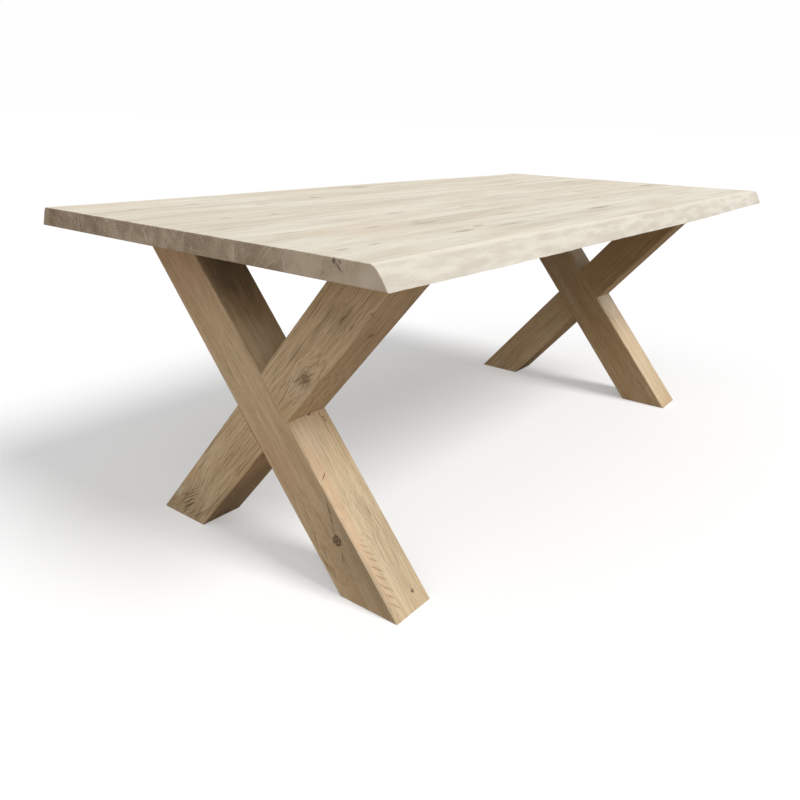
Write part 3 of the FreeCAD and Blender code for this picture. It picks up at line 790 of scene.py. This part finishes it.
# dark lines of open grain on the left front-foot beam's upper face, and grooves torn
# across it beside the branch, as (x, y, z, half length, half width, angle to the grain, strength)
OPEN_GRAIN = [
    (-0.798, -0.2319, 0.1818, 0.036, 0.0016, 0.17, 0.50),
    (-0.821, -0.2715, 0.1348, 0.030, 0.0016, 0.14, 0.55),
    (-0.826, -0.2954, 0.1063, 0.032, 0.0018, 0.11, 0.55),
    (-0.790, -0.2528, 0.1569, 0.038, 0.0016, -0.12, 0.45),
    (-0.804, -0.3263, 0.0697, 0.024, 0.0014, 0.00, 0.40),
    (-0.822, -0.2229, 0.1925, 0.030, 0.0014, -0.05, 0.35),
    (-0.768, -0.2677, 0.1393, 0.044, 0.0014, 0.01, 0.40),
    (-0.767, -0.3002, 0.1006, 0.040, 0.0014, 0.10, 0.35),
    (-0.856, -0.2638, 0.1439, 0.010, 0.0026, -0.94, 0.29),
    (-0.857, -0.2725, 0.1336, 0.018, 0.0028, -0.93, 0.39),
    (-0.856, -0.2835, 0.1205, 0.025, 0.0028, -0.88, 0.34),
    (-0.855, -0.2944, 0.1075, 0.018, 0.0030, -0.83, 0.44),
    (-0.857, -0.3075, 0.0920, 0.026, 0.0032, -0.79, 0.49),
    (-0.858, -0.3204, 0.0766, 0.023, 0.0032, -0.76, 0.44),
    (-0.861, -0.3344, 0.0601, 0.029, 0.0032, -0.68, 0.49),
    (-0.861, -0.3485, 0.0433, 0.020, 0.0034, -0.70, 0.44),
    (-0.863, -0.3618, 0.0275, 0.026, 0.0032, -0.73, 0.44),
]
BEAM_MARKS["leg_left_front_foot"] += [
    ("pore", strength, (x, y, z), (width, 0.006, length), in_face(-LEAN, angle))
    for x, y, z, length, width, angle, strength in OPEN_GRAIN]
# the same on the side of its partner's foot, as (y, z, half length, turn, strength)
TORN_GRAIN = [
    (0.3039, 0.0668, 0.028, 1.13, 0.6), (0.2667, 0.0922, 0.043, 0.96, 0.5),
    (0.2734, 0.0797, 0.060, 1.02, 0.7), (0.2773, 0.0695, 0.056, 1.02, 0.7),
    (0.2884, 0.0523, 0.045, 0.99, 0.9), (0.2894, 0.0421, 0.039, 1.01, 0.8),
    (0.2970, 0.0335, 0.036, 0.92, 1.0), (0.3058, 0.0185, 0.022, 0.87, 0.8),
    (0.2755, 0.0254, 0.023, 0.86, 0.9), (0.2571, 0.0233, 0.037, 0.82, 0.7),
    (0.2309, 0.0413, 0.050, 0.85, 0.5)]
BEAM_MARKS["leg_left_back_foot"] += [
    ("pore", strength, (LEFT, y, z), (0.006, 0.0026, length), (turn, 0.0, 0.0))
    for y, z, length, turn, strength in TORN_GRAIN]


class TABLE_OT_beams(bpy.types.Operator):
    """Models the four square beams with their cross half-laps"""
    bl_idname = "table.beams"
    bl_label = "Crossed beams"

    def execute(self, context):
        legs = context.scene.table_legs
        for seed, node in enumerate(BEAMS):
            low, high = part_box(node)
            lean = 1 if "front_foot" in node else -1
            along = (0.0, lean * SPREAD, high.z)
            middle = (low + high) / 2
            middle.y = FRAME_MIDDLE
            material = solid_oak("oiled_oak_" + node, legs, along, middle,
                                 2.9 + seed * 1.9, BEAMS[node],
                                 knots=BEAM_KNOTS.get(node, []),
                                 marks=BEAM_MARKS.get(node, []))
            finish_piece(self.beam(low, high, lean, legs.arris), material, node)
        return {"FINISHED"}

    def beam(self, low, high, lean, arris):
        """A leaning square beam whose inner half is cut away for its partner."""
        half, rise = (high.x - low.x) / 2, high.z
        middle = Vector(((low.x + high.x) / 2, FRAME_MIDDLE, 0.0))
        whole = -lean * half
        width = 2 * half * math.hypot(SPREAD, rise) / rise
        notch = width / 2 * rise / SPREAD
        path = [(whole, 0), (whole, rise), (-whole, rise), (-whole, rise / 2 + notch),
                (0, rise / 2 + notch), (0, rise / 2), (-whole, rise / 2), (-whole, 0)]
        bm = bmesh.new()
        slope = lean * SPREAD / rise
        rim = [bm.verts.new(middle + Vector((x, slope * (z - rise / 2) - lean * width / 2, z)))
               for x, z in path]
        notched = {3, 4, 5, 6}
        grown = bmesh.ops.extrude_face_region(bm, geom=[bm.faces.new(rim)])["geom"]
        moved = [v for v in grown if isinstance(v, bmesh.types.BMVert)]
        bmesh.ops.translate(bm, vec=(0.0, lean * width, 0.0), verts=moved)
        lowered = [v for v in moved
                   if any(abs(v.co.x - rim[i].co.x) + abs(v.co.z - rim[i].co.z) < 1e-6
                          for i in notched)]
        bmesh.ops.translate(bm, vec=(0.0, -slope * notch, -notch), verts=lowered)
        outer = [e for e in bm.edges if self.is_arris(e, middle.x, half)]
        ease(bm, outer, arris)
        return bm

    def is_arris(self, edge, middle, half):
        """An edge along the beam or round its foot, and not one of the joint's."""
        a, b = (v.co for v in edge.verts)
        on_side = all(abs(abs(p.x - middle) - half) < 1e-6 for p in (a, b))
        runs_up = abs(a.x - b.x) < 1e-6 and abs(a.z - b.z) > SHORTEST_ARRIS
        return (on_side and runs_up) or max(a.z, b.z) < 1e-6


class TABLE_OT_hardware(bpy.types.Operator):
    """Gives the hidden steel bars and screws their finishes"""
    bl_idname = "table.hardware"
    bl_label = "Steel bars and screws"

    def execute(self, context):
        coat, plate = powder_coat(), zinc_plate()
        finishes = {"mounting_bar_left": coat, "mounting_bar_right": coat,
                    "frame_screws": plate, "top_screws": plate}
        for node, material in finishes.items():
            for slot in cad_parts[node].material_slots:
                slot.material = material
        return {"FINISHED"}


# ------------------------------------------------------------------ the stage
class TABLE_OT_stage(bpy.types.Operator):
    """Sets the floor, the light and the camera"""
    bl_idname = "table.stage"
    bl_label = "Stage"

    def execute(self, context):
        settings = context.scene.table_stage
        self.floor(settings)
        self.world(settings)
        self.lamps()
        self.camera(context, settings)
        context.scene.view_settings.view_transform = "Standard"
        return {"FINISHED"}

    def floor(self, settings):
        bm = bmesh.new()
        bmesh.ops.create_grid(bm, x_segments=8, y_segments=8, size=settings.floor_reach)
        mesh = bpy.data.meshes.new("floor")
        bm.to_mesh(mesh)
        bm.free()
        ground = bpy.data.objects.new("floor", mesh)
        bpy.context.scene.collection.objects.link(ground)
        material, tree = new_material("white_floor")
        seen = put(tree, "LightPath").outputs["Is Camera Ray"]
        tone = put(tree, "MixRGB", (seen, settings.bounce, settings.floor))
        shaded = put(tree, "BsdfDiffuse", {"Color": tone})
        glow = put(tree, "Emission", {"Color": linear("#FFFFFF"), "Strength": 1.0})
        lift = put(tree, "Math", (seen, settings.lift), operation="MULTIPLY")
        shader = put(tree, "MixShader", (lift, shaded, glow))
        # from below the floor is clear, so that the underside of the table can be seen
        below = put(tree, "NewGeometry").outputs["Backfacing"]
        shader = put(tree, "MixShader", (below, shader, put(tree, "BsdfTransparent")))
        put(tree, "OutputMaterial", {"Surface": shader})
        mesh.materials.append(material)

    def world(self, settings):
        world = bpy.data.worlds.new("studio")
        bpy.context.scene.world = world
        world.use_nodes = True
        tree = world.node_tree
        tree.nodes.clear()
        path = put(tree, "LightPath")
        seen = put(tree, "Math", (path.outputs["Is Camera Ray"], path.outputs["Is Glossy Ray"]),
                   operation="MAXIMUM")
        seen = put(tree, "Math", (seen, path.outputs["Is Transmission Ray"]),
                   operation="MAXIMUM")
        height = put(tree, "SeparateXYZ", (put(tree, "TexCoord"),)).outputs["Z"]
        sky = put(tree, "MapRange", {"Value": height, "To Min": 0.10, "To Max": 0.34})
        strength = put(tree, "MapRange", {"Value": seen, "To Min": sky, "To Max": 1.0})
        light = put(tree, "Background", {"Color": settings.floor, "Strength": strength})
        put(tree, "OutputWorld", {"Surface": light})

    def lamps(self):
        """A key light over the front long side and a softer one over the left end."""
        for name, energy, spread, towards in (
                ("key", 2.6, 24, (0.13, -0.92, 1.0)),
                ("fill", 1.35, 100, (-0.90, -0.25, 0.40))):
            sun = bpy.data.lights.new(name, "SUN")
            sun.energy = energy
            sun.angle = math.radians(spread)
            lamp = bpy.data.objects.new(name, sun)
            lamp.rotation_euler = Vector(towards).to_track_quat("Z", "Y").to_euler()
            bpy.context.scene.collection.objects.link(lamp)

    def camera(self, context, settings):
        yaw, pitch, roll = settings.yaw, settings.pitch, settings.roll
        ahead = Vector((math.cos(pitch) * math.cos(yaw), math.cos(pitch) * math.sin(yaw),
                        math.sin(pitch)))
        right = Vector((math.sin(yaw), -math.cos(yaw), 0.0))
        up = right.cross(ahead)
        across = math.cos(roll) * right + math.sin(roll) * up
        upward = math.cos(roll) * up - math.sin(roll) * right
        axes = Matrix((across, upward, -ahead)).transposed()
        view = bpy.data.cameras.new("camera")
        view.sensor_width = 36.0
        view.lens = settings.lens
        view.shift_x, view.shift_y = settings.shift
        view.clip_end = 1000.0
        camera = bpy.data.objects.new("camera", view)
        camera.matrix_world = Matrix.Translation(settings.camera_place) @ axes.to_4x4()
        context.scene.collection.objects.link(camera)
        context.scene.camera = camera


class TABLE_PT_panel(bpy.types.Panel):
    """Lists the steps that dress the table"""
    bl_idname = "TABLE_PT_panel"
    bl_label = "Table"
    bl_space_type = "VIEW_3D"
    bl_region_type = "UI"
    bl_category = "Table"

    def draw(self, context):
        for step in STEPS:
            self.layout.operator(step.bl_idname)
        for group in (context.scene.table_top, context.scene.table_legs,
                      context.scene.table_stage):
            for name in group.bl_rna.properties.keys():
                if name not in {"rna_type", "name"}:
                    self.layout.prop(group, name)


STEPS = (TABLE_OT_natural_boards, TABLE_OT_straight_boards, TABLE_OT_beams,
         TABLE_OT_hardware, TABLE_OT_stage)
GROUPS = {"table_top": TableTopSettings, "table_legs": TableLegSettings,
          "table_stage": TableStageSettings}


def register():
    for kind in (*GROUPS.values(), *STEPS, TABLE_PT_panel):
        bpy.utils.register_class(kind)
    for name, kind in GROUPS.items():
        setattr(bpy.types.Scene, name, bpy.props.PointerProperty(type=kind))


def unregister():
    for name in GROUPS:
        delattr(bpy.types.Scene, name)
    for kind in reversed((*GROUPS.values(), *STEPS, TABLE_PT_panel)):
        bpy.utils.unregister_class(kind)


def main():
    register()
    for step in STEPS:
        group, name = step.bl_idname.split(".")
        getattr(getattr(bpy.ops, group), name)()


if __name__ == "__main__":
    main()
